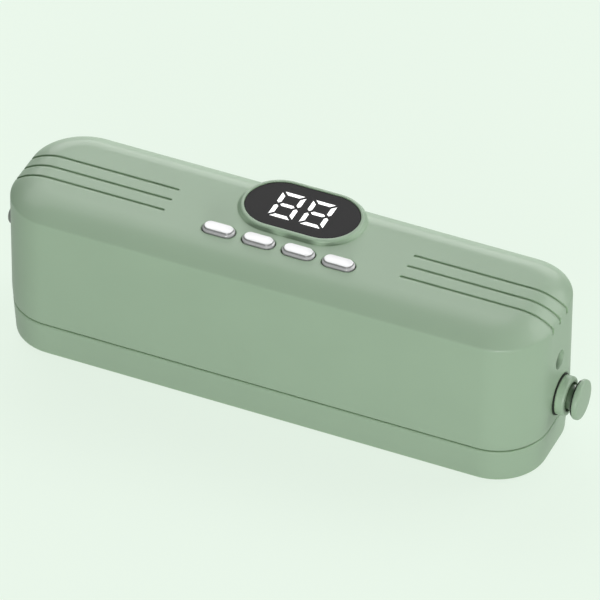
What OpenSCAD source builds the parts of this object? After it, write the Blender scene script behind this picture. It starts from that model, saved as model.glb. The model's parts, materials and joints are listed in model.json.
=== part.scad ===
// Handheld vacuum sealer: a bar-shaped upper body on a shallow hinged base.
// Millimetres. +X is the vent-knob end, -Y is the front, +Z is up.
// The origin is on the resting plane, under the middle of the body.

/* [Body] */
// Length of the body, without the vent knob
body_l = 240; // [232:1:265]
// Depth of the body, front to back
body_w = 63; // [60:1:72]
// Height of the flat top above the resting plane
body_h = 75.1; // [72:0.1:84]
// Radius of the upright corners
corner_r = 23; // [21:0.5:25]
// Width of the sloping shoulder round the top
shoulder_w = 15; // [13:0.5:16]
// Fall of the shoulder from the flat top to the crease
shoulder_drop = 5.4; // [4.5:0.1:6.5]
// Rounding of the crease under the shoulder
crease_r = 1.4; // [0.8:0.1:2]
// Wall of both shells
wall = 2.4; // [2:0.1:2.8]
// Height of the parting line
parting_z = 16.5; // [15:0.1:17]
// Gap between the two shells at the parting line
parting_gap = 0.5; // [0.4:0.05:0.8]
// How far both shells draw in at the parting line
waist_in = 0.4; // [0.3:0.1:1.2]
// Height over which the upper shell draws in
waist_h = 9; // [7:0.5:12]

/* [Top grooves] */
// Grooves at each end
groove_count = 3; // [1:1:3]
// Distance between grooves
groove_pitch = 7.3; // [6:0.1:8]
// Place of the middle groove, front to back
groove_y = -0.8; // [-3:0.1:0]
// Where the grooves start, from the middle of the body
groove_start = 53.3; // [50:0.1:60]
// Width of a groove
groove_w = 1.5; // [1:0.1:1.8]
// Depth of a groove
groove_depth = 0.5; // [0.4:0.1:1]
// How far a groove runs down the end wall below the crease
groove_tail = 2.6; // [1:0.1:4]

/* [Display] */
// Length of the dark lens
lens_l = 49.6; // [46:0.2:54]
// Depth of the dark lens
lens_w = 29.2; // [27:0.2:30]
// Thickness of the lens
lens_t = 2; // [1.6:0.1:2.4]
// Distance of the lens's middle from the back
lens_back = 18.2; // [18:0.1:19.5]
// Width of the rim round the lens
bezel_rim = 1.9; // [1.6:0.1:2.2]
// Flare of the raised bezel below its rim
bezel_flare = 0.8; // [0.6:0.1:1.2]
// Height of the bezel above the top
bezel_rise = 1.8; // [1.2:0.1:2.4]
// Height of a digit
digit_h = 16.8; // [14:0.1:18]
// Width of a digit
digit_w = 10.6; // [9:0.1:11]
// Distance between the two digits
digit_pitch = 13.7; // [12.6:0.1:15]
// Width of one lit segment
segment_w = 1.9; // [1.6:0.1:2.2]
// Gap between segments
segment_gap = 0.9; // [0.5:0.05:1]

/* [Buttons] */
// Length of a button
button_l = 14.2; // [12:0.1:15]
// Depth of a button
button_w = 6.9; // [5.6:0.1:7]
// Height of a button above the top
button_rise = 2; // [1.6:0.1:2.6]
// Distance between buttons
button_pitch = 17.8; // [17:0.1:19]
// Place of the button row, front to back
button_y = -11.1; // [-12:0.1:-10.8]
// Slit round a button
button_gap = 0.45; // [0.3:0.05:0.5]
// Inset of a button's raised face
button_bevel = 0.9; // [0.6:0.1:1.2]
// Travel of a button
button_travel = 0.8; // [0.5:0.1:1]

/* [Vent knob] */
// Place of the knob on the end wall, front to back
knob_y = 2.5; // [0:0.5:4]
// Height of the knob's axis
knob_z = 28.1; // [28:0.1:30]
// Radius of the knob's cap
knob_r = 8.6; // [7.6:0.1:9]
// Thickness of the knob's cap
knob_t = 2.6; // [2:0.1:3.5]
// Radius of the collar
collar_r = 8.4; // [8:0.1:9]
// How far the collar stands out of the end wall
collar_reach = 4.6; // [4:0.1:6]
// Travel of the knob
knob_travel = 2.4; // [1.5:0.1:3]
// Radius of the stem
stem_r = 2.6; // [2.2:0.1:3]
// Radius of the neck between collar and cap
neck_r = 5.4; // [4.6:0.1:5.6]

/* [End fittings] */
// Bore radius of the hose socket on the knob end
hose_r = 4.2; // [3.5:0.1:4.6]
// Depth of the hose socket
hose_depth = 7; // [6:0.5:8]
// Height of the hose socket
hose_z = 47.6; // [46:0.1:50]
// Place of the hose socket, front to back
hose_y = 0.5; // [-2:0.5:3]
// Radius of the charge-port plug on the other end
plug_r = 4.2; // [3.8:0.1:4.6]
// How far the plug stands out
plug_reach = 4.2; // [3:0.1:5]
// Place of the charge port, front to back
port_y = -6; // [-7:0.5:-3]
// Height of the charge port
port_z = 49; // [46:0.1:51]

/* [Base] */
// Lean of the base's side, over its whole height
base_lean = 1; // [0.8:0.1:2]
// Rounding of the base's lower edge
base_edge_r = 1.2; // [1:0.1:3]
// Thickness of the base's floor
floor_t = 2.4; // [2:0.1:2.8]
// Length of the non-slip pad
pad_l = 170; // [150:1:190]
// Depth of the non-slip pad
pad_w = 30; // [26:1:36]
// Thickness of the non-slip pad
pad_t = 2; // [1.6:0.1:2.2]
// How far the pad stands below the base
pad_proud = 0.5; // [0.4:0.1:1]
// Thickness of the deck and of the chassis plate
deck_t = 3; // [2.8:0.1:3.4]
// How far deck and chassis lie back from the parting line
deck_back = 0.85; // [0.7:0.05:1]

/* [Vacuum chamber] */
// Distance of the trough that the bag's mouth lies in from each end
trough_end = 22; // [21:0.5:30]
// How deep the trough is
trough_d = 6.4; // [5.5:0.1:7]
// Place of the trough, front to back
trough_y = 0; // [-0.5:0.1:0.5]
// Wall of the trough
trough_wall = 1.4; // [1.2:0.1:1.6]
// Width of a gasket
gasket_w = 3.6; // [3:0.1:4]
// Gap between the two gaskets with the lid shut
gasket_gap = 0.3; // [0.3:0.05:0.4]
// Depth of the slots that hold gaskets and strips
slot_d = 1.4; // [1.2:0.1:1.6]
// Distance of the sealing bar from each end
seal_end = 20; // [18:0.5:28]
// Width of the sealing bar's bed
seal_w = 6.4; // [6:0.1:6.6]
// Land between the sealing bar and the gasket
seal_land = 2; // [1:0.1:2.4]

/* [Hinge] */
// Distance of each hinge from the middle
hinge_x = 70; // [60:1:80]
// Distance of the hinge axis behind the body
hinge_back = 3; // [2.9:0.1:3.4]
// Radius of a knuckle
knuckle_r = 3.2; // [3:0.1:3.2]
// Length of the middle knuckle
knuckle_l = 12; // [10:0.5:16]
// Length of an outer knuckle
outer_knuckle_l = 6; // [5:0.5:8]
// Radius of the hinge pin
pin_r = 1.25; // [1:0.05:1.4]

/* [Inside] */
// Distance of the control board below the top wall
board_drop = 9.1; // [8.6:0.1:10]
// Radius of a battery cell
cell_r = 9.2; // [9:0.1:9.5]
// Length of a battery cell
cell_l = 65; // [60:0.5:66]
// Radius of the pump's motor
motor_r = 12; // [10:0.5:13]
// Length of the pump's motor
motor_l = 32; // [28:1:34]
// Side of the square pump head
head_w = 26; // [25:0.5:28]
// Outer radius of the air tubes
tube_r = 3; // [2.6:0.1:3.2]
// Bore radius of the air tubes
tube_bore_r = 1.6; // [1.4:0.1:1.8]

/* [Hidden] */
$fn = 64;
// Clearances: seated pieces, sliding pieces, turning pins
fit_gap = 0.15;
slide_gap = 0.1;
pin_gap = 0.06;
over = 1; // how far a cutter runs past the face it cuts
arc_steps = 12;
edge_steps = 5;
edge_c = 0.4; // small edge break at the parting line
button_round = 0.4; // rounding of a button's raised face
button_count = 4;
bezel_round = 1; // rounding of the bezel's rim
// Colours
green = [0.60, 0.70, 0.60];
dark = [0.16, 0.16, 0.17];
pale = [0.86, 0.87, 0.85];
steel = [0.72, 0.73, 0.75];

// Derived places
housing_z0 = parting_z + parting_gap / 2;
base_top = parting_z - parting_gap / 2;
base_z0 = pad_proud;
end_x = body_l / 2;
shoulder_r = (pow(shoulder_w, 2) + pow(shoulder_drop, 2)) / (2 * shoulder_drop);
crease_z = body_h - shoulder_drop;
deck_top = base_top - deck_back;
deck_z0 = deck_top - deck_t;
chassis_z0 = housing_z0 + deck_back;
chassis_top = chassis_z0 + deck_t;
opening_in = waist_in + wall; // inset of both shells' mouths
seal_gap_lo = parting_z - gasket_gap / 2;
seal_gap_hi = parting_z + gasket_gap / 2;
top_in = body_h - wall; // underside of the top wall
hinge_y = body_w / 2 + hinge_back;
lens_y = body_w / 2 - lens_back;
bezel_l = lens_l + 2 * (bezel_rim + bezel_flare);
bezel_w = lens_w + 2 * (bezel_rim + bezel_flare);
bezel_z0 = body_h - 6;
lens_top = body_h + bezel_rise - 0.2;
window_in = 2; // ledge under the lens
board_z = top_in - board_drop;
board_l = 104;
board_w = 42;
board_y = 2;
board_t = 1.6;
post_x = 46;
post_y = 16;
post_r = 3;
screw_r = 1.3;
screw_head_r = 2.6;
screw_head_t = 1.4;
boss_x = end_x - 28;
boss_mid_x = 8;
boss_r = 5;
boss_h = 14;
boss_y = body_w / 2 - opening_in - screw_head_r - 0.9;
base_boss_r = 4;
seal_l = body_l - 2 * seal_end;
seal_y = screw_head_r + seal_w / 2 + 0.8 - boss_y;
trough_l = body_l - 2 * trough_end;
tray_lip = 2;
tray_lip_t = 1.2;
gasket_l = trough_l + 2 * trough_wall + gasket_w * 2;
gasket_d = 2 * (-seal_y - seal_w / 2 - seal_land - 2 * fit_gap);
trough_w = gasket_d - 2 * trough_wall - 2 * gasket_w;
arm_step = 0.5; // how far a hinge arm lies inside its knuckle
// Vent valve stations along X, counted from the end wall outwards
seat_depth = 1.6;
seat_gap = 0.6;
collar_seal_t = seat_depth + 0.6;
nut_seat = 0.8;
collar_face = end_x + collar_reach;
collar_foot = end_x - seat_depth + collar_seal_t;
neck_well = knob_travel + 0.6;
neck_gap = 1;
washer_t = 0.6;
washer_r = knob_r - 0.9;
washer_x = collar_face + knob_travel + 0.2;
cap_x = washer_x + washer_t;
sleeve_r = 5.4;
sleeve_end = end_x - 12;
poppet_r = 4.6;
poppet_t = 2;
seal_t = 1.2;
seal_x = sleeve_end - seal_t - fit_gap;
poppet_x = seal_x - poppet_t;
spring_l = 8.2;
spring_wire = 0.35;
spring_mean_r = 3.4;
spring_turns = 6;
valve_r = 7.2;
spring_room = spring_l + 2 * spring_wire + slide_gap;
valve_end = poppet_x - spring_room - 1.6;
nut_t = 3.6;
nut_flat = 7.2;
nut_x = end_x - wall - nut_seat - nut_t - slide_gap;
// Charge socket and hose socket
spigot_l = 4;
tube_bend = 6;
socket_l = 13;
socket_r = plug_r + 1.4;
socket_bore_r = 2.8;
socket_cup = 7;
hose_spigot = 5;
// Pump and tubes
vent_nozzle_x = valve_end - tube_bend - spigot_l - 2;
pump_rise = 6; // room for the tube under the pump head
motor_z = chassis_top + head_w / 2 + pump_rise;
head_l = 24;
head_x = vent_nozzle_x - tube_r - 1 - head_l;
motor_x = head_x - motor_l;
crank_r = 5;
crank_throw = 1.5;
shaft_r = 1.15;
nozzle_flange_r = 4;
nozzle_flange_t = 1;
nozzle_l = 0.6;
pump_nozzle_x = head_x + head_l / 2;

// A point list for a profile is [inset from the outline, height].

// Profile of the outer shell over the shoulder and crease, from the flat top down
function shoulder_profile(t) = let (
        r = shoulder_r - t,
        w = shoulder_w - t,
        f = t > 0 ? 0 : crease_r,
        turn = asin((w - f) / (r - f)),
        mid = body_h - shoulder_r + sqrt(pow(r - f, 2) - pow(w - f, 2)))
    concat(
        [for (i = [0 : arc_steps]) let (a = turn * i / arc_steps)
            [shoulder_w - r * sin(a), body_h - shoulder_r + r * cos(a)]],
        f > 0 ? [for (i = [1 : edge_steps]) let (a = turn + (90 - turn) * i / edge_steps)
            [t + f - f * sin(a), mid + f * cos(a)]] : []);

// Profile of the upper shell's drawn-in lower wall
function waist_profile() = concat(
    [for (i = [0 : edge_steps]) let (s = i / edge_steps)
        [waist_in * s * s, housing_z0 + edge_c + (waist_h - edge_c) * (1 - s)]],
    [[waist_in + edge_c, housing_z0]]);

// Profile of the base's leaning wall and rounded lower edge, from the parting line down
function base_profile() = let (
        rise = base_top - base_z0,
        lean = atan(base_lean / rise),
        mid_z = base_z0 + base_edge_r,
        touch_z = mid_z - base_edge_r * sin(lean),
        touch_in = waist_in + (base_top - touch_z) * tan(lean),
        mid_in = touch_in + base_edge_r * cos(lean))
    concat(
        [[waist_in + edge_c, base_top], [waist_in, base_top - edge_c]],
        [for (i = [0 : edge_steps]) let (a = lean + (90 - lean) * i / edge_steps)
            [mid_in - base_edge_r * cos(a), mid_z - base_edge_r * sin(a)]]);

// A rounded-rectangle body whose wall follows a profile
module rounded_body(l, w, r, profile) {
    top = profile[0][1];
    low = profile[len(profile) - 1][1];
    side = [for (p = profile) [r - p[0], p[1]]];
    module section(half) {
        polygon(concat([for (p = profile) [half - p[0], p[1]]],
            [for (i = [len(profile) - 1 : -1 : 0]) [profile[i][0] - half, profile[i][1]]]));
    }
    for (sx = [-1, 1])
        for (sy = w > 2 * r + 0.01 ? [-1, 1] : [0])
            translate([sx * (l / 2 - r), sy * (w / 2 - r), 0])
                rotate_extrude()
                    polygon(concat([[0, top]], side, [[0, low]]));
    translate([r - l / 2, 0, 0])
        rotate([90, 0, 90])
            linear_extrude(l - 2 * r)
                section(w / 2);
    if (w > 2 * r + 0.01)
        translate([0, w / 2 - r, 0])
            rotate([90, 0, 0])
                linear_extrude(w - 2 * r)
                    section(l / 2);
}

// A plain rounded-rectangle plate, inset from an outline
module plate(l, w, r, inset, z0, z1) {
    rounded_body(l, w, r, [[inset, z1], [inset, z0]]);
}

// A stadium-shaped plate
module pill(l, w, z0, z1) {
    plate(l, w, w / 2, 0, z0, z1);
}

// A stadium-shaped ring
module pill_ring(l, w, band, z0, z1) {
    difference() {
        pill(l, w, z0, z1);
        pill(l - 2 * band, w - 2 * band, z0 - over, z1 + over);
    }
}

// A bar with a rectangular section, centred along X
module bar(l, w, z0, z1) {
    translate([-l / 2, -w / 2, z0])
        cube([l, w, z1 - z0]);
}

// A cylinder along X from x0 to x1
module rod(x0, x1, r) {
    translate([x0, 0, 0])
        rotate([0, 90, 0])
            cylinder(h = x1 - x0, r = r);
}

// A turned piece along X: points are [x, radius]
module turned(points) {
    rotate([0, 90, 0])
        rotate_extrude()
            polygon([for (p = points) [p[1], p[0]]]);
}

module at_knob() {
    translate([0, knob_y, knob_z])
        children();
}

module at_hose() {
    translate([end_x, hose_y, hose_z])
        children();
}

module at_port() {
    translate([-end_x, port_y, port_z])
        children();
}

// Outer form of the upper shell, shrunk by t
module upper_form(t = 0) {
    rounded_body(body_l, body_w, corner_r, t > 0
        ? concat(shoulder_profile(t), [[t, housing_z0 + waist_h], [t + waist_in, housing_z0 - over]])
        : concat(shoulder_profile(0), waist_profile()));
}

// Screw places shared by the bosses, the chassis plate and the screws
module at_bosses() {
    for (x = [-boss_x, boss_mid_x, boss_x])
        for (s = [-1, 1])
            translate([x, s * boss_y, 0])
                children();
}

module at_posts() {
    for (x = [-post_x, post_x])
        for (s = [-1, 1])
            translate([x, board_y + s * post_y, 0])
                children();
}

module at_button(i) {
    translate([(i - (button_count - 1) / 2) * button_pitch, button_y, 0])
        children();
}

// One groove's cutter: a round-ended slot that follows the form groove_depth below it
module groove_cutters() {
    difference() {
        for (end = [-1, 1])
            for (i = [0 : groove_count - 1])
                translate([end * groove_start, groove_y + (i - (groove_count - 1) / 2) * groove_pitch, 0]) {
                    translate([0, 0, crease_z - groove_tail])
                        cylinder(h = shoulder_drop + groove_tail + over, d = groove_w);
                    translate([end > 0 ? 0 : -end_x, -groove_w / 2, crease_z - groove_tail])
                        cube([end_x, groove_w, shoulder_drop + groove_tail + over]);
                }
        upper_form(groove_depth);
    }
}

// Raised bezel: a stadium with a flared side and a rounded rim
module bezel() {
    translate([0, lens_y, 0])
        rounded_body(bezel_l, bezel_w, bezel_w / 2, concat(
            [for (i = [0 : edge_steps]) let (a = 90 * i / edge_steps)
                [bezel_flare + bezel_round * (1 - sin(a)),
                    body_h + bezel_rise - bezel_round * (1 - cos(a))]],
            [for (i = [1 : edge_steps]) let (s = i / edge_steps)
                [bezel_flare * pow(1 - s, 2), body_h + (bezel_rise - bezel_round) * (1 - s)]],
            [[0, bezel_z0]]));
}

module hinge_knuckle(l) {
    translate([-l / 2, hinge_y, parting_z])
        rod(0, l, knuckle_r);
}

module hinge_bore(r) {
    translate([0, hinge_y, parting_z])
        rod(-end_x, end_x, r);
}

module base_shell() {
    deep_in = opening_in + 3;
    arm_z0 = parting_z - knuckle_r + arm_step;
    knuckle_step = (knuckle_l + outer_knuckle_l) / 2 + 2 * fit_gap;
    color(green)
    difference() {
        union() {
            difference() {
                rounded_body(body_l, body_w, corner_r, base_profile());
                plate(body_l, body_w, corner_r, opening_in, deck_z0, base_top + over);
                plate(body_l, body_w, corner_r, deep_in, base_z0 + floor_t, base_top);
            }
            for (x = [-hinge_x, hinge_x])
                for (s = [-1, 1])
                    translate([x + s * knuckle_step, 0, 0]) {
                        hinge_knuckle(outer_knuckle_l);
                        translate([-outer_knuckle_l / 2, body_w / 2 - waist_in - wall / 2, arm_z0])
                            cube([outer_knuckle_l, hinge_back + waist_in + wall / 2,
                                knuckle_r - parting_gap - arm_step]);
                    }
            at_deck_screws()
                translate([0, 0, base_z0 + floor_t - over])
                    cylinder(h = deck_z0 - base_z0 - floor_t + over, r = base_boss_r);
        }
        pill(pad_l, pad_w, base_z0 - over, pad_t);
        hinge_bore(pin_r + 0.02);
        at_deck_screws()
            translate([0, 0, base_z0 + floor_t])
                cylinder(h = deck_z0, r = screw_r);
    }
}

module at_deck_screws() {
    for (x = [-hinge_x, hinge_x])
        translate([x, body_w / 2 - opening_in - base_boss_r - 2.2, 0])
            children();
    for (x = [-boss_x, boss_x])
        translate([x, 0, 0])
            mirror([x < 0 ? 1 : 0, 0, 0])
                translate([trough_l / 2 + gasket_w + trough_wall - boss_x + 4, 0, 0])
                    children();
}

module base_deck() {
    color(pale)
    difference() {
        plate(body_l, body_w, corner_r, opening_in + fit_gap, deck_z0, deck_top);
        translate([0, trough_y, 0]) {
            pill(trough_l + 2 * trough_wall, trough_w + 2 * trough_wall, deck_z0 - over, deck_top + over);
            pill(gasket_l + 2 * fit_gap, gasket_d + 2 * fit_gap, deck_top - slot_d, deck_top + over);
        }
        translate([0, seal_y, 0])
            bar(seal_l + 2 * fit_gap, seal_w + 2 * fit_gap, deck_top - slot_d, deck_top + over);
        at_deck_screws() {
            cylinder(h = deck_top + over, r = screw_r + slide_gap);
            translate([0, 0, deck_top - screw_head_t])
                cylinder(h = screw_head_t + over, r = screw_head_r + fit_gap);
        }
    }
}

// Tray in the deck's opening: its lip lies under the deck and its wall holds the gasket's inner edge
module vacuum_tray() {
    tray_l = trough_l + 2 * (trough_wall - fit_gap);
    tray_w = trough_w + 2 * (trough_wall - fit_gap);
    color(pale)
    translate([0, trough_y, 0])
        difference() {
            union() {
                pill(tray_l, tray_w, deck_top - trough_d - trough_wall, deck_top);
                pill(tray_l + 2 * tray_lip, tray_w + 2 * tray_lip, deck_z0 - tray_lip_t, deck_z0);
            }
            pill(trough_l, trough_w, deck_top - trough_d, deck_top + over);
        }
}

module non_slip_pad() {
    color(dark)
    pill(pad_l - 2 * fit_gap, pad_w - 2 * fit_gap, 0, pad_t);
}

module lower_gasket() {
    color([0.30, 0.31, 0.31])
    translate([0, trough_y, 0])
        pill_ring(gasket_l, gasket_d, gasket_w, deck_top - slot_d, seal_gap_lo);
}

module press_strip() {
    color([0.80, 0.36, 0.26])
    translate([0, seal_y, 0])
        bar(seal_l, seal_w, deck_top - slot_d, seal_gap_lo);
}

module hinge_pins() {
    half = knuckle_l / 2 + outer_knuckle_l + 2 * fit_gap;
    color(steel)
    for (x = [-hinge_x, hinge_x])
        translate([x, hinge_y, parting_z])
            rod(-half, half, pin_r);
}

// A countersunk-style screw, head up, with its underside at z = 0
module screw(shank) {
    translate([0, 0, -shank])
        cylinder(h = shank, r = screw_r - slide_gap / 2);
    difference() {
        cylinder(h = screw_head_t, r = screw_head_r);
        translate([0, 0, screw_head_t / 2])
            cylinder(h = screw_head_t, r = screw_head_r / 2, $fn = 6);
    }
}

module deck_screws() {
    color(steel)
    at_deck_screws()
        translate([0, 0, deck_top - screw_head_t])
            screw(deck_t + 3);
}

module upper_housing() {
    color(green)
    difference() {
        union() {
            difference() {
                union() {
                    upper_form();
                    bezel();
                }
                difference() {
                    upper_form(wall);
                    bezel();
                }
            }
            at_bosses()
                translate([0, 0, chassis_top])
                    cylinder(h = boss_h, r = boss_r);
            at_posts()
                translate([0, 0, board_z])
                    cylinder(h = top_in + wall / 4 - board_z, r = post_r);
            at_hose() {
                rod(-hose_depth - wall / 2, -wall / 2, hose_r + wall / 2);
                rod(-hose_depth - hose_spigot, -hose_depth, tube_bore_r);
            }
            at_knob()
                rod(end_x - wall - nut_seat, end_x - wall / 2, nut_flat);
            at_port()
                rod(wall / 2, wall + socket_cup, socket_r + fit_gap + wall / 2);
            for (x = [-hinge_x, hinge_x])
                translate([x, 0, 0]) {
                    hinge_knuckle(knuckle_l);
                    translate([-knuckle_l / 2, body_w / 2 - waist_in - wall / 2, parting_z + parting_gap])
                        cube([knuckle_l, hinge_back + waist_in + wall / 2,
                            knuckle_r - parting_gap - arm_step]);
                }
        }
        groove_cutters();
        translate([0, lens_y, 0]) {
            pill(lens_l + 2 * slide_gap, lens_w + 2 * slide_gap,
                lens_top - lens_t, body_h + bezel_rise + over);
            pill(lens_l - 2 * window_in, lens_w - 2 * window_in, bezel_z0 - over, lens_top);
        }
        for (i = [0 : button_count - 1])
            at_button(i)
                pill(button_l + 2 * button_gap, button_w + 2 * button_gap, top_in - over, body_h + over);
        at_knob() {
            rod(end_x - seat_depth, end_x + over, collar_r + seat_gap);
            rod(end_x - wall - nut_seat - over, end_x, sleeve_r + slide_gap);
        }
        at_hose() {
            rod(-hose_depth, over, hose_r);
            rod(-hose_depth - hose_spigot, over, tube_bore_r - 0.6);
        }
        at_port() {
            rod(-over, wall + over, plug_r + slide_gap);
            rod(wall, wall + socket_l, socket_r + fit_gap);
        }
        hinge_bore(pin_r + pin_gap);
        at_bosses()
            cylinder(h = chassis_top + boss_h - 2, r = screw_r);
        at_posts()
            cylinder(h = top_in - wall / 2, r = screw_r);
    }
}

module chassis_plate() {
    color(pale)
    difference() {
        plate(body_l, body_w, corner_r, opening_in + fit_gap, chassis_z0, chassis_top);
        translate([0, trough_y, 0]) {
            pill_ring(gasket_l + 2 * fit_gap, gasket_d + 2 * fit_gap, gasket_w + 2 * fit_gap,
                chassis_z0 - over, chassis_z0 + slot_d);
        }
        at_nozzles()
            cylinder(h = chassis_top + over, r = tube_bore_r + slide_gap);
        translate([0, seal_y, 0])
            bar(seal_l + 2 * fit_gap, seal_w + 2 * fit_gap, chassis_z0 - over, chassis_z0 + slot_d);
        at_bosses() {
            cylinder(h = chassis_top + over, r = screw_r + slide_gap);
            cylinder(h = chassis_z0 + screw_head_t, r = screw_head_r + fit_gap);
        }
    }
}

module upper_gasket() {
    color([0.30, 0.31, 0.31])
    translate([0, trough_y, 0])
        pill_ring(gasket_l, gasket_d, gasket_w, seal_gap_hi, chassis_z0 + slot_d);
}

heater_w = 3;
heater_t = 0.4;
tape_t = 0.25;

module heater_bed() {
    color([0.55, 0.30, 0.22])
    translate([0, seal_y, 0])
        difference() {
            bar(seal_l, seal_w, seal_gap_hi + tape_t, chassis_z0 + slot_d);
            bar(seal_l + over, heater_w + 2 * slide_gap,
                seal_gap_hi - over, seal_gap_hi + tape_t + heater_t);
        }
}

module heater_strip() {
    color([0.62, 0.60, 0.58])
    translate([0, seal_y, 0])
        bar(seal_l, heater_w, seal_gap_hi + tape_t, seal_gap_hi + tape_t + heater_t);
}

module release_tape() {
    color([0.66, 0.50, 0.33])
    translate([0, seal_y, 0])
        bar(seal_l, seal_w, seal_gap_hi, seal_gap_hi + tape_t);
}

module chassis_screws() {
    color(steel)
    at_bosses()
        translate([0, 0, chassis_z0 + screw_head_t])
            mirror([0, 0, 1])
                screw(deck_t + 5);
}

module at_nozzles() {
    for (p = [[pump_nozzle_x, trough_y], [vent_nozzle_x, knob_y]])
        translate([p[0], p[1], 0])
            children();
}

// A spigot on a flange that carries a tube, through the chassis plate
module nozzle() {
    translate([0, 0, chassis_z0 + slot_d])
        cylinder(h = deck_t - slot_d + nozzle_flange_t + nozzle_l, r = tube_bore_r);
    translate([0, 0, chassis_top])
        cylinder(h = nozzle_flange_t, r = nozzle_flange_r);
}

module air_nozzles() {
    color(pale)
    difference() {
        at_nozzles()
            nozzle();
        at_nozzles()
            cylinder(h = body_h, r = tube_bore_r - 0.6);
    }
}

// A straight length of tube along Z
module tube(h) {
    difference() {
        cylinder(h = h, r = tube_r);
        translate([0, 0, -over])
            cylinder(h = h + 2 * over, r = tube_bore_r + slide_gap / 2);
    }
}

// A quarter bend in the XZ plane: from +Z at the origin over to +X
module tube_bend() {
    translate([tube_bend, 0, 0])
        rotate([90, 0, 0])
            rotate([0, 0, 90])
                rotate_extrude(angle = 90)
                    translate([tube_bend, 0])
                        difference() {
                            circle(tube_r);
                            circle(tube_bore_r + slide_gap / 2);
                        }
}

module pump_tube() {
    foot = chassis_top + nozzle_flange_t;
    color([0.85, 0.86, 0.84])
    translate([pump_nozzle_x, trough_y, foot])
        tube(motor_z - head_w / 2 - foot - slide_gap);
}

module vent_tube() {
    foot = chassis_top + nozzle_flange_t;
    rise = knob_z - tube_bend - foot;
    color([0.85, 0.86, 0.84])
    union() {
        translate([vent_nozzle_x, knob_y, foot])
            tube(rise);
        translate([vent_nozzle_x, knob_y, foot + rise])
            tube_bend();
        translate([vent_nozzle_x + tube_bend, knob_y, knob_z])
            rotate([0, 90, 0])
                tube(valve_end - vent_nozzle_x - tube_bend - slide_gap);
    }
}

module pump_motor() {
    color(steel)
    translate([0, 0, motor_z])
        turned([[motor_x, 0], [motor_x, motor_r - 1], [motor_x + 1, motor_r], [head_x, motor_r],
            [head_x, motor_r / 2], [head_x + 2, motor_r / 2], [head_x + 2, shaft_r + pin_gap],
            [head_x - 6, shaft_r + pin_gap], [head_x - 6, 0]]);
}

module pump_bracket() {
    color(pale)
    difference() {
        translate([motor_x + 6, -motor_r - 2, chassis_top])
            cube([motor_l - 12, 2 * motor_r + 4, motor_z - chassis_top]);
        translate([0, 0, motor_z])
            rod(motor_x, head_x, motor_r + slide_gap);
    }
}

module pump_head() {
    color(dark)
    difference() {
        union() {
            translate([head_x, -head_w / 2, motor_z - head_w / 2])
                cube([head_l, head_w, head_w]);
            translate([pump_nozzle_x, trough_y, motor_z - head_w / 2 - spigot_l])
                cylinder(h = spigot_l + over, r = tube_bore_r);
        }
        translate([0, 0, motor_z]) {
            rod(head_x - over, head_x + 3, motor_r / 2 + slide_gap);
            rod(head_x + 3 - over, head_x + head_l - 3, crank_r + crank_throw + 2);
        }
    }
}

module pump_cover() {
    color([0.25, 0.25, 0.26])
    translate([head_x + 1, -head_w / 2 + 1, motor_z + head_w / 2])
        cube([head_l - 2, head_w - 2, 4]);
}

module pump_crank() {
    color(steel)
    translate([0, 0, motor_z]) {
        rod(head_x - 6 + slide_gap, head_x + 8, shaft_r);
        translate([0, 0, -crank_throw])
            rod(head_x + 5, head_x + 9, crank_r);
    }
}

cells_x = boss_r + 3 - boss_x;
cell_z = chassis_top + 3 + cell_r;

module at_cells() {
    for (s = [-1, 1])
        translate([0, s * (cell_r + 0.6), cell_z])
            children();
}

module battery_cells() {
    color([0.32, 0.48, 0.60])
    at_cells() {
        rod(cells_x, cells_x + cell_l, cell_r);
        rod(cells_x + cell_l - over, cells_x + cell_l + 1.2, cell_r / 3);
    }
}

module battery_cradle() {
    cradle_w = 4 * cell_r + 5;
    color(pale)
    difference() {
        translate([cells_x - 2, -cradle_w / 2, chassis_top])
            cube([cell_l + 6, cradle_w, cell_r + 3 - 1]);
        at_cells()
            rod(cells_x - slide_gap, cells_x + cell_l + 1.3, cell_r + slide_gap);
    }
}

module control_board() {
    color([0.16, 0.36, 0.24])
    difference() {
        translate([0, board_y, 0])
            bar(board_l, board_w, board_z - board_t, board_z);
        at_posts()
            cylinder(h = body_h, r = screw_r + slide_gap);
    }
}

module board_screws() {
    color(steel)
    at_posts()
        translate([0, 0, board_z - board_t])
            mirror([0, 0, 1])
                screw(board_t + 4);
}

module display_module() {
    color([0.22, 0.22, 0.23])
    translate([0, lens_y, 0])
        bar(2 * digit_pitch + 4, digit_h + 4, board_z, lens_top - lens_t - fit_gap);
}

// One digit: seven mitred segments with an even slit between them
module digit(w, h, t) {
    g = segment_gap;
    tip = w / 2 - t / 2 - 1.3 * g;
    foot = 0.7 * g;
    for (s = [-1, 1])
        polygon([[g - w / 2, s * h / 2], [w / 2 - g, s * h / 2],
            [w / 2 - g - t, s * (h / 2 - t)], [g + t - w / 2, s * (h / 2 - t)]]);
    polygon([[-tip, 0], [t / 2 - tip, t / 2], [tip - t / 2, t / 2],
        [tip, 0], [tip - t / 2, -t / 2], [t / 2 - tip, -t / 2]]);
    for (sx = [-1, 1])
        for (sy = [-1, 1])
            polygon([[sx * w / 2, sy * (h / 2 - g)], [sx * (w / 2 - t), sy * (h / 2 - g - t)],
                [sx * (w / 2 - t), sy * (foot + t / 2)], [sx * (w / 2 - t / 2), sy * foot],
                [sx * w / 2, sy * (foot + t / 2)]]);
}

module digits(depth, grow = 0) {
    translate([0, lens_y, lens_top - depth])
        linear_extrude(depth + grow)
            for (s = [-1, 1])
                translate([s * digit_pitch / 2, 0])
                    digit(digit_w, digit_h, segment_w);
}

digit_depth = 0.6;

module display_lens() {
    color(dark)
    difference() {
        translate([0, lens_y, 0])
            rounded_body(lens_l, lens_w, lens_w / 2,
                [[edge_c / 2, lens_top], [0, lens_top - edge_c / 2], [0, lens_top - lens_t]]);
        digits(digit_depth, over);
    }
}

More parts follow.
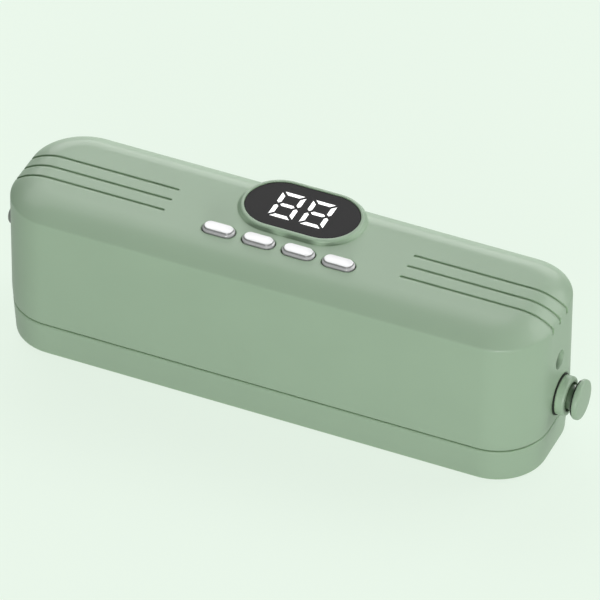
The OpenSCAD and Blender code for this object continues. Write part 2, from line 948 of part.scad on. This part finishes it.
module display_digits() {
    color([0.97, 0.97, 0.95])
    digits(digit_depth);
}

switch_l = 13;
switch_top = top_in - 1.4 - button_travel - fit_gap;

module tact_switches() {
    color([0.25, 0.25, 0.26])
    for (i = [0 : button_count - 1])
        at_button(i) {
            bar(6, 6, board_z, board_z + 3.5);
            translate([0, 0, board_z + 3])
                cylinder(h = switch_top - board_z - 3, r = 1.7);
        }
}

module push_button(i) {
    flange_t = 1.2;
    color([0.95, 0.95, 0.95])
    at_button(i) {
        rounded_body(button_l, button_w, button_w / 2, concat(
            [for (k = [0 : edge_steps]) let (a = 90 * k / edge_steps)
                [button_bevel + button_round * (1 - sin(a)),
                    body_h + button_rise - button_round * (1 - cos(a))]],
            [[button_bevel * 0.8, body_h + button_rise * 0.55],
                [button_bevel * 0.2, body_h + button_rise * 0.4],
                [0, body_h + button_rise * 0.25], [0, top_in - flange_t]]));
        pill(button_l + 2, button_w + 2, top_in - slide_gap - flange_t, top_in - slide_gap);
    }
}

module collar_seal() {
    color([0.08, 0.08, 0.08])
    at_knob()
        turned([[end_x - seat_depth, sleeve_r + slide_gap],
            [end_x - seat_depth, collar_r + seat_gap - slide_gap],
            [collar_foot, collar_r + seat_gap - slide_gap], [collar_foot, sleeve_r + slide_gap]]);
}

module valve_collar() {
    color(green)
    at_knob()
        turned([[collar_foot, sleeve_r], [collar_foot, collar_r], [collar_face - 0.8, collar_r],
            [collar_face - 0.25, collar_r - 0.25], [collar_face, collar_r - 0.8],
            [collar_face, neck_r + neck_gap], [collar_face - neck_well, neck_r + neck_gap],
            [collar_face - neck_well, stem_r + slide_gap],
            [sleeve_end, stem_r + slide_gap], [sleeve_end, sleeve_r]]);
}

module valve_nut() {
    color(steel)
    at_knob()
        difference() {
            translate([nut_x, 0, 0])
                rotate([0, 90, 0])
                    rotate([0, 0, 30])
                        cylinder(h = nut_t, r = nut_flat / cos(30), $fn = 6);
            rod(0, end_x, sleeve_r + 0.02);
        }
}

module valve_body() {
    mouth = nut_x;
    color(dark)
    at_knob()
        turned([[valve_end - spigot_l, tube_bore_r - 0.6],
            [valve_end - spigot_l, tube_bore_r], [valve_end, tube_bore_r],
            [valve_end, valve_r - 0.6], [valve_end + 0.6, valve_r],
            [mouth, valve_r], [mouth, sleeve_r + 0.05], [sleeve_end, sleeve_r + 0.05],
            [sleeve_end, poppet_r + 0.5], [valve_end + 1.6, poppet_r + 0.5],
            [valve_end + 1.6, tube_bore_r - 0.6]]);
}

// Points of a helix of wire along X, as rings of a swept tube
function spring_ring(t) = let (
        a = 360 * spring_turns * t,
        c = [spring_l * t, spring_mean_r * cos(a), spring_mean_r * sin(a)],
        out = [0, cos(a), sin(a)])
    [for (k = [0 : 5]) c + spring_wire * (cos(60 * k) * out + sin(60 * k) * [1, 0, 0])];

module valve_spring() {
    rings = 8 * spring_turns;
    points = [for (i = [0 : rings]) each spring_ring(i / rings)];
    sides = [for (i = [0 : rings - 1]) for (k = [0 : 5]) let (
            a = 6 * i + k, b = 6 * i + (k + 1) % 6)
        each [[a, b, a + 6], [b, b + 6, a + 6]]];
    ends = [for (k = [1 : 4]) each [[0, k + 1, k], [6 * rings, 6 * rings + k, 6 * rings + k + 1]]];
    color(steel)
    at_knob()
        translate([poppet_x - spring_l - spring_wire - slide_gap / 2, 0, 0])
            polyhedron(points, concat(sides, ends));
}

module knob_cap() {
    round_r = 1;
    color(green)
    at_knob()
        turned(concat([[cap_x, 0], [cap_x, knob_r - 0.6],
                [cap_x + 0.2, knob_r - 0.2], [cap_x + 0.6, knob_r]],
            [for (i = [0 : edge_steps]) let (a = 90 * i / edge_steps)
                [cap_x + knob_t - round_r + round_r * sin(a), knob_r - round_r + round_r * cos(a)]],
            [[cap_x + knob_t, 0]]));
}

module knob_stem() {
    color(dark)
    at_knob()
        turned([[poppet_x, 0], [poppet_x, poppet_r], [poppet_x + poppet_t, poppet_r],
            [poppet_x + poppet_t, stem_r], [cap_x, stem_r], [cap_x, 0]]);
}

module knob_neck() {
    color(green)
    at_knob()
        turned([[collar_face - 0.5, stem_r], [collar_face - 0.5, neck_r],
            [washer_x, neck_r], [washer_x, stem_r]]);
}

module knob_washer() {
    color([0.08, 0.08, 0.08])
    at_knob()
        turned([[washer_x, stem_r], [washer_x, washer_r], [cap_x, washer_r], [cap_x, stem_r]]);
}

module poppet_seal() {
    color([0.10, 0.10, 0.10])
    at_knob()
        turned([[seal_x, stem_r], [seal_x, poppet_r],
            [seal_x + seal_t, poppet_r], [seal_x + seal_t, stem_r]]);
}

module charge_socket() {
    color(dark)
    at_port()
        difference() {
            rod(wall + 0.3, wall + socket_l, socket_r);
            rod(0, wall + socket_l - 2, socket_bore_r);
        }
}

module port_plug() {
    color([0.30, 0.31, 0.30])
    at_port()
        turned(concat([[-plug_reach, 0]],
            [for (i = [1 : edge_steps]) let (a = 90 * i / edge_steps)
                [2 - plug_reach - 2 * cos(a), plug_r * sin(a)]],
            [[wall, plug_r], [wall, socket_bore_r - slide_gap],
                [wall + 6, socket_bore_r - slide_gap], [wall + 6, 0]]));
}

module lid_switch() {
    color([0.20, 0.20, 0.21])
    translate([wall + switch_l / 2 + 4 - end_x, 0, chassis_top])
        bar(switch_l, 6, 0, 8);
}

base_shell();
base_deck();
vacuum_tray();
non_slip_pad();
lower_gasket();
press_strip();
hinge_pins();
deck_screws();
upper_housing();
chassis_plate();
upper_gasket();
heater_bed();
heater_strip();
release_tape();
air_nozzles();
pump_tube();
vent_tube();
pump_motor();
pump_bracket();
pump_head();
pump_cover();
battery_cells();
battery_cradle();
control_board();
display_module();
display_lens();
display_digits();
tact_switches();
charge_socket();
lid_switch();
chassis_screws();
board_screws();
collar_seal();
valve_collar();
valve_nut();
valve_body();
valve_spring();
push_button(0);  // button_1
push_button(1);  // button_2
push_button(2);  // button_3
push_button(3);  // button_4
knob_cap();
knob_neck();
knob_stem();
knob_washer();
poppet_seal();
port_plug();
pump_crank();
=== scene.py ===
import json
import math

import bpy
from mathutils import Matrix, Vector


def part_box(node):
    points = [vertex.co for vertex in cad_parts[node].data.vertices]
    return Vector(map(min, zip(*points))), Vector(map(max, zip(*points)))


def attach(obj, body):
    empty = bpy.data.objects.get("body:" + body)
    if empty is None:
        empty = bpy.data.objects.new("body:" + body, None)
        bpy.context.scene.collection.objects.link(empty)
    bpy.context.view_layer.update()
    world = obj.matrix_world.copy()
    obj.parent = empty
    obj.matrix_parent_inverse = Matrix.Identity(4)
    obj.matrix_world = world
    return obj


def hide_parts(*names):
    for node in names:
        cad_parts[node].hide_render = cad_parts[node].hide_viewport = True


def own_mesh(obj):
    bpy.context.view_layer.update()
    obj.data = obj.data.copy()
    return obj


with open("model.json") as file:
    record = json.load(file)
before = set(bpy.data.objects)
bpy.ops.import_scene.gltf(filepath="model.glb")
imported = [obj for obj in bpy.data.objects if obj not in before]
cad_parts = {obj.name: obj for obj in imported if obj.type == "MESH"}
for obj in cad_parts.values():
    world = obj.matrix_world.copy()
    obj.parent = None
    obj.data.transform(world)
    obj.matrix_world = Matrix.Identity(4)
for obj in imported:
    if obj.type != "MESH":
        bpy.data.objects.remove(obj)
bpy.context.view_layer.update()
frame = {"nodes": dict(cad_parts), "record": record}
nodes = frame["nodes"]
scene = bpy.context.scene

# Noise scales, from broad mottling to fine grain
FLOOR_MOTTLE = 2
MOTTLE = 38
GLOW_MOTTLE = 60
DRAWN_LINES = 240
SILICONE_GRAIN = 700
COARSE_GRAIN = 900
FINE_GRAIN = 1800

# The part of a noise's range that a colour ramp spans
NOISE_LOW, NOISE_HIGH = 0.3, 0.7

# Depths of surface relief and radii of softened edges, in metres
FINE_DEPTH = 0.0001
GRAIN_DEPTH = 0.00012
FINE_EDGE = 0.0002
PLAIN_EDGE = 0.0003
HOUSING_EDGE = 0.0009

# Roughness of every clear coat, and samples of the edge and hollow measures
COAT_ROUGH = 0.12
EDGE_SAMPLES = 6
HOLLOW_SAMPLES = 12

# Edges that turn by more than this many degrees stay sharp
SMOOTH_DEG = 24

# Points closer than this, in metres, are joined before smoothing
WELD_GAP = 1e-6


# Materials

def shade(colour, factor):
    return tuple(min(1.0, c * factor) for c in colour)


class Paint:
    """A material with a small node tree, built one step at a time."""

    def __init__(self, name, rough, coat=0.0, metal=0.0, specular=0.5):
        self.name = name
        self.material = bpy.data.materials.new(name)
        self.material.use_nodes = True
        self.tree = self.material.node_tree
        self.bsdf = self.tree.nodes["Principled BSDF"]
        self.put("Roughness", rough)
        self.put("Metallic", metal)
        self.put("Specular IOR Level", specular)
        self.put("Coat Weight", coat)
        self.put("Coat Roughness", COAT_ROUGH)
        self.place = self.node("ShaderNodeTexCoord").outputs["Object"]

    def put(self, name, value):
        """Sets a value on the shader itself."""
        self.bsdf.inputs[name].default_value = value

    def node(self, kind, inputs=(), **settings):
        """Adds a node with its settings and the values of its inputs."""
        made = self.tree.nodes.new(kind)
        for key, value in settings.items():
            setattr(made, key, value)
        for key, value in dict(inputs).items():
            made.inputs[key].default_value = value
        return made

    def link(self, a, b):
        self.tree.links.new(a, b)

    def noise(self, scale, detail, stretch=None):
        made = self.node("ShaderNodeTexNoise", {"Scale": scale, "Detail": detail})
        place = self.place
        if stretch:
            mapping = self.node("ShaderNodeMapping", {"Scale": stretch})
            self.link(place, mapping.inputs["Vector"])
            place = mapping.outputs["Vector"]
        self.link(place, made.inputs["Vector"])
        return made.outputs["Fac"]

    def stops(self, fac, points):
        """A colour ramp through (place, colour) points."""
        made = self.node("ShaderNodeValToRGB")
        elements = made.color_ramp.elements
        while len(elements) < len(points):
            elements.new(1.0)
        for element, (place, colour) in zip(elements, points):
            element.position = place
            element.color = (*colour, 1)
        self.link(fac, made.inputs["Fac"])
        return made.outputs["Color"]

    def ramp(self, fac, low, high, start=NOISE_LOW, stop=NOISE_HIGH):
        return self.stops(fac, [(start, low), (stop, high)])

    def mottle(self, colour, spread):
        """A colour that varies slightly over the surface."""
        cloud = self.noise(MOTTLE, detail=4)
        return self.ramp(cloud, shade(colour, 1 - spread), shade(colour, 1 + spread))

    def span(self, fac, start=0.0, stop=1.0, low=0.0, high=1.0):
        """Carries a value from the range start to stop over to the range low to high."""
        ends = {"From Min": start, "From Max": stop, "To Min": low, "To Max": high}
        made = self.node("ShaderNodeMapRange", ends)
        self.link(fac, made.inputs["Value"])
        return made.outputs["Result"]

    def mix(self, fac, fixed, linked):
        """A fixed colour where fac is 0, and a linked one where it is 1."""
        made = self.node("ShaderNodeMixRGB", {"Color1": (*fixed, 1)})
        self.link(fac, made.inputs["Fac"])
        self.link(linked, made.inputs["Color2"])
        return made.outputs["Color"]

    def height(self, bottom, top):
        """How far up the piece a point lies, from 0 at bottom to 1 at top."""
        split = self.node("ShaderNodeSeparateXYZ")
        self.link(self.place, split.inputs["Vector"])
        return self.span(split.outputs["Z"], bottom, top)

    def painted_crevice_light(self, output, crevice_light_colour, reach, closed, free):
        """Painted light: another colour where the surface is hemmed in within a short reach, as the
        occlusion measure finds it.
        """
        measure = self.node("ShaderNodeAmbientOcclusion", {"Distance": reach}, samples=HOLLOW_SAMPLES)
        return self.mix(self.span(measure.outputs["AO"], closed, free), crevice_light_colour, output)

    def colour(self, output):
        self.link(output, self.bsdf.inputs["Base Color"])

    def roughness(self, fac, low, high):
        self.link(self.span(fac, low=low, high=high), self.bsdf.inputs["Roughness"])

    def surface(self, fac, relief, depth, edge=0.0):
        """Fine surface relief, over softly rounded edges."""
        bump = self.node("ShaderNodeBump", {"Strength": relief, "Distance": depth})
        self.link(fac, bump.inputs["Height"])
        if edge:
            bevel = self.node("ShaderNodeBevel", {"Radius": edge}, samples=EDGE_SAMPLES)
            self.link(bevel.outputs["Normal"], bump.inputs["Normal"])
        self.link(bump.outputs["Normal"], self.bsdf.inputs["Normal"])


def plain(name, colour, rough, spread=0.06, grain=FINE_GRAIN, relief=0.04, **kind):
    """A moulded or rubber surface with slight mottling and a fine grain."""
    paint = Paint(name, rough, **kind)
    paint.colour(paint.mottle(colour, spread))
    fine = paint.noise(grain, detail=2)
    paint.roughness(fine, low=rough * 0.9, high=min(1.0, rough * 1.12))
    paint.surface(fine, relief, GRAIN_DEPTH, PLAIN_EDGE)
    return paint


def brushed(name, colour, rough, stretch):
    """Metal with fine drawn lines."""
    paint = Paint(name, rough, metal=1.0)
    lines = paint.noise(DRAWN_LINES, detail=3, stretch=stretch)
    paint.colour(paint.ramp(lines, low=shade(colour, 0.82), high=shade(colour, 1.08)))
    paint.roughness(lines, low=rough * 0.7, high=rough * 1.4)
    paint.surface(lines, relief=0.12, depth=FINE_DEPTH, edge=FINE_EDGE)
    return paint


def housing_green():
    """Sage green moulding, whose grooves and hollows keep a fuller green in their own shade: a painted
    paler green that stands in for the light they bounce.
    """
    paint = Paint("green_plastic", rough=0.44, coat=0.12, specular=0.3)
    tone = paint.mottle((0.280, 0.382, 0.273), spread=0.015)
    # Painted bounce light: a fuller, paler green than the body where grooves and hollows are hemmed in.
    crevice_light_colour = (0.295, 0.452, 0.266)
    paint.colour(paint.painted_crevice_light(tone, crevice_light_colour, reach=0.003, closed=0.30, free=0.95))
    fine = paint.noise(FINE_GRAIN, detail=2)
    paint.roughness(fine, low=0.40, high=0.48)
    paint.surface(fine, relief=0.04, depth=GRAIN_DEPTH, edge=HOUSING_EDGE)
    return paint


def button_white():
    """A white face with painted shade below it: greys by height down the sides, darkest just under the
    face, with a paler step lower down.
    """
    # Painted shade: these greys run over this depth below the top face.
    shaded_depth = 0.002
    blue = 1.01
    painted_shade_tones = [(0.20, 0.30), (0.32, 0.44), (0.50, 0.42), (0.56, 0.17), (0.78, 0.20), (0.90, 0.86)]
    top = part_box("button_1")[1][2]
    paint = Paint("white_button", rough=0.16, coat=0.3)
    points = [(place, (tone, tone, tone * blue)) for place, tone in painted_shade_tones]
    paint.colour(paint.stops(paint.height(top - shaded_depth, top), points))
    paint.surface(paint.noise(COARSE_GRAIN, detail=2), relief=0.02, depth=FINE_DEPTH, edge=FINE_EDGE)
    return paint


def lit_white():
    """Display segments that glow a little."""
    paint = Paint("lit_white", rough=0.4)
    glow = paint.ramp(paint.noise(GLOW_MOTTLE, detail=2), low=(0.93, 0.93, 0.92), high=(1.0, 1.0, 0.99))
    paint.colour(glow)
    paint.link(glow, paint.bsdf.inputs["Emission Color"])
    paint.put("Emission Strength", 0.55)
    return paint


def circuit_board():
    """Green board with a grid of paler tracks."""
    paint = Paint("board", rough=0.4, coat=0.3)
    tracks = paint.node("ShaderNodeTexBrick", {
        "Scale": 90,
        "Color1": (0.02, 0.12, 0.05, 1),
        "Color2": (0.03, 0.15, 0.06, 1),
        "Mortar": (0.06, 0.24, 0.10, 1),
        "Mortar Size": 0.03,
    })
    paint.link(paint.place, tracks.inputs["Vector"])
    paint.colour(tracks.outputs["Color"])
    paint.surface(tracks.outputs["Fac"], relief=0.2, depth=FINE_DEPTH)
    return paint


def release_cloth():
    """Woven brown tape over the heating bar."""
    paint = Paint("release_cloth", rough=0.5)
    weave = paint.node("ShaderNodeTexWave", {"Scale": 420}, wave_type="BANDS", bands_direction="DIAGONAL")
    paint.link(paint.place, weave.inputs["Vector"])
    threads = weave.outputs["Fac"]
    paint.colour(paint.ramp(threads, (0.24, 0.13, 0.055), (0.38, 0.23, 0.11), start=0.0, stop=1.0))
    paint.surface(threads, relief=0.25, depth=FINE_DEPTH)
    return paint


paints = [
    housing_green(),
    button_white(),
    plain("lens_plastic", (0.025, 0.0245, 0.025), rough=0.45, spread=0.05, relief=0.02, specular=0.06),
    lit_white(),
    circuit_board(),
    release_cloth(),
    # The knob's neck: a darker green, as painted shade between its collar and cap.
    plain("neck_painted_shade", (0.060, 0.100, 0.055), rough=0.3, coat=0.2),
    plain("pale_plastic", (0.66, 0.68, 0.64), rough=0.5, spread=0.03),
    plain("dark_plastic", (0.022, 0.022, 0.024), rough=0.45),
    plain("black_rubber", (0.010, 0.012, 0.010), rough=0.6, grain=COARSE_GRAIN, relief=0.15, specular=0.2),
    plain("grey_rubber", (0.19, 0.21, 0.19), rough=0.62, grain=COARSE_GRAIN, relief=0.12),
    plain("silicone", (0.50, 0.11, 0.06), rough=0.55, grain=SILICONE_GRAIN, relief=0.1),
    brushed("steel", (0.66, 0.67, 0.69), rough=0.3, stretch=(0.2, 1, 1)),
    plain("cell_wrap", (0.05, 0.14, 0.25), rough=0.3, coat=0.4),
    plain("clear_tube", (0.62, 0.64, 0.60), rough=0.35, coat=0.2),
]
finishes = {paint.name: paint.material for paint in paints}


# Smooth shading that keeps real edges sharp

def smooth_group(angle):
    group = bpy.data.node_groups.new("smooth_by_angle", "GeometryNodeTree")
    group.interface.new_socket("Geometry", in_out="INPUT", socket_type="NodeSocketGeometry")
    group.interface.new_socket("Geometry", in_out="OUTPUT", socket_type="NodeSocketGeometry")
    start = group.nodes.new("NodeGroupInput")
    end = group.nodes.new("NodeGroupOutput")
    faces = group.nodes.new("GeometryNodeSetShadeSmooth")
    edges = group.nodes.new("GeometryNodeSetShadeSmooth")
    edges.domain = "EDGE"
    edges.inputs["Shade Smooth"].default_value = False
    measure = group.nodes.new("GeometryNodeInputMeshEdgeAngle")
    compare = group.nodes.new("FunctionNodeCompare")
    compare.data_type = "FLOAT"
    compare.operation = "GREATER_THAN"
    compare.inputs["B"].default_value = math.radians(angle)
    group.links.new(measure.outputs["Unsigned Angle"], compare.inputs["A"])
    group.links.new(compare.outputs["Result"], edges.inputs["Selection"])
    group.links.new(start.outputs[0], faces.inputs["Geometry"])
    group.links.new(faces.outputs["Geometry"], edges.inputs["Geometry"])
    group.links.new(edges.outputs["Geometry"], end.inputs[0])
    return group


smoothing = smooth_group(SMOOTH_DEG)


def dress(obj, finish):
    obj.data.materials.clear()
    obj.data.materials.append(finishes[finish])
    weld = obj.modifiers.new("weld", "WELD")
    weld.merge_threshold = WELD_GAP
    smooth = obj.modifiers.new("smooth", "NODES")
    smooth.node_group = smoothing


# Each piece takes the finish of its slot, apart from the knob's neck, which gets a darker green than its
# cap as painted shade.
slots = {s["node"]: s["material_slot"] for s in frame["record"]["subparts"]}
slots["knob_neck"] = "neck_painted_shade"
for name, obj in nodes.items():
    dress(obj, slots[name])


# Valve spring, which in the real valve shortens as the knob goes in; here its mesh is copied onto its own
# object on the upper body

def make_spring(node):
    spring = bpy.data.objects.new("valve_spring_coil", nodes[node].data.copy())
    scene.collection.objects.link(spring)
    dress(spring, slots[node])
    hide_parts(node)
    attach(spring, "upper")
    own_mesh(spring)


make_spring("valve_spring")


# Floor

FLOOR_SIZE = 12
FLOOR_DROP = 0.0002
FLOOR_DIM = (0.822, 0.930, 0.826)
FLOOR_PALE = (0.834, 0.940, 0.838)
FLOOR_BOUNCE = (0.30, 0.34, 0.30)
FLOOR_EVEN = 0.88


def floor_paint():
    """A pale floor that the camera sees mostly as an even tone, so its shadow stays faint.

    It throws back only part of its light onto the object.
    """
    paint = Paint("floor", rough=0.9, specular=0.1)
    tone = paint.ramp(paint.noise(FLOOR_MOTTLE, detail=2), FLOOR_DIM, FLOOR_PALE)
    rays = paint.node("ShaderNodeLightPath")
    seen = paint.node("ShaderNodeMath", operation="MAXIMUM")
    paint.link(rays.outputs["Is Camera Ray"], seen.inputs[0])
    paint.link(rays.outputs["Is Glossy Ray"], seen.inputs[1])
    paint.colour(paint.mix(seen.outputs[0], FLOOR_BOUNCE, tone))
    even = paint.node("ShaderNodeEmission")
    paint.link(tone, even.inputs["Color"])
    amount = paint.node("ShaderNodeMath", {1: FLOOR_EVEN}, operation="MULTIPLY")
    paint.link(seen.outputs[0], amount.inputs[0])
    blend = paint.node("ShaderNodeMixShader")
    paint.link(amount.outputs[0], blend.inputs["Fac"])
    paint.link(paint.bsdf.outputs[0], blend.inputs[1])
    paint.link(even.outputs[0], blend.inputs[2])
    paint.link(blend.outputs[0], paint.tree.nodes["Material Output"].inputs["Surface"])
    return paint


def make_floor(size):
    mesh = bpy.data.meshes.new("floor")
    h = size / 2
    mesh.from_pydata([(-h, -h, 0), (h, -h, 0), (h, h, 0), (-h, h, 0)], [], [(0, 1, 2, 3)])
    mesh.materials.append(floor_paint().material)
    floor = bpy.data.objects.new("floor", mesh)
    floor.location = (0, 0, -FLOOR_DROP)
    scene.collection.objects.link(floor)


make_floor(FLOOR_SIZE)


# Light

LAMP_AIM = Vector((0, 0, 0.05))
WORLD_TINT = (0.92, 1.0, 0.93, 1)
WORLD_STRENGTH = 0.11


def area(name, bearing, rise, far, width, height, power):
    """A soft lamp on a sphere round the object: bearing from +X and rise in degrees."""
    data = bpy.data.lights.new(name, "AREA")
    data.shape = "RECTANGLE"
    data.size, data.size_y = width, height
    data.energy = power
    light = bpy.data.objects.new(name, data)
    turn, lift = math.radians(bearing), math.radians(rise)
    flat = far * math.cos(lift)
    light.location = (flat * math.cos(turn), flat * math.sin(turn), far * math.sin(lift))
    light.rotation_mode = "QUATERNION"
    light.rotation_quaternion = (LAMP_AIM - light.location).to_track_quat("-Z", "Y")
    scene.collection.objects.link(light)


area("key", bearing=-67, rise=7, far=5.0, width=2.4, height=0.8, power=205)
area("front", bearing=-80, rise=30, far=4.0, width=2.0, height=1.2, power=20)
area("back_high", bearing=50, rise=42, far=4.0, width=3.0, height=2.0, power=88)
area("left_high", bearing=137, rise=50, far=4.0, width=3.0, height=2.0, power=64)
area("sheen", bearing=110, rise=16, far=4.0, width=3.2, height=1.6, power=66)
area("side", bearing=30, rise=8, far=4.0, width=2.4, height=0.8, power=36)

world = bpy.data.worlds.new("world")
scene.world = world
world.use_nodes = True
background = world.node_tree.nodes["Background"]
background.inputs["Color"].default_value = WORLD_TINT
background.inputs["Strength"].default_value = WORLD_STRENGTH


# Camera at the photo's angle

CAMERA_PLACE = Vector((0.95923, -2.18967, 1.97272))
CAMERA_LOOK = Vector((-0.31064, 0.71277, -0.62886))
CAMERA_UP = Vector((-0.25844, 0.57333, 0.77750))
CAMERA_LENS = 448.3
SENSOR_WIDTH = 36
CLIP_NEAR, CLIP_FAR = 0.1, 50

camera_data = bpy.data.cameras.new("camera")
camera_data.sensor_width = SENSOR_WIDTH
camera_data.lens = CAMERA_LENS
camera_data.clip_start, camera_data.clip_end = CLIP_NEAR, CLIP_FAR
camera = bpy.data.objects.new("camera", camera_data)
camera_right = CAMERA_LOOK.cross(CAMERA_UP).normalized()
camera_turn = Matrix((camera_right, CAMERA_UP, -CAMERA_LOOK)).transposed()
camera.matrix_world = Matrix.Translation(CAMERA_PLACE) @ camera_turn.to_4x4()
scene.collection.objects.link(camera)
scene.camera = camera

scene.view_settings.view_transform = "Standard"
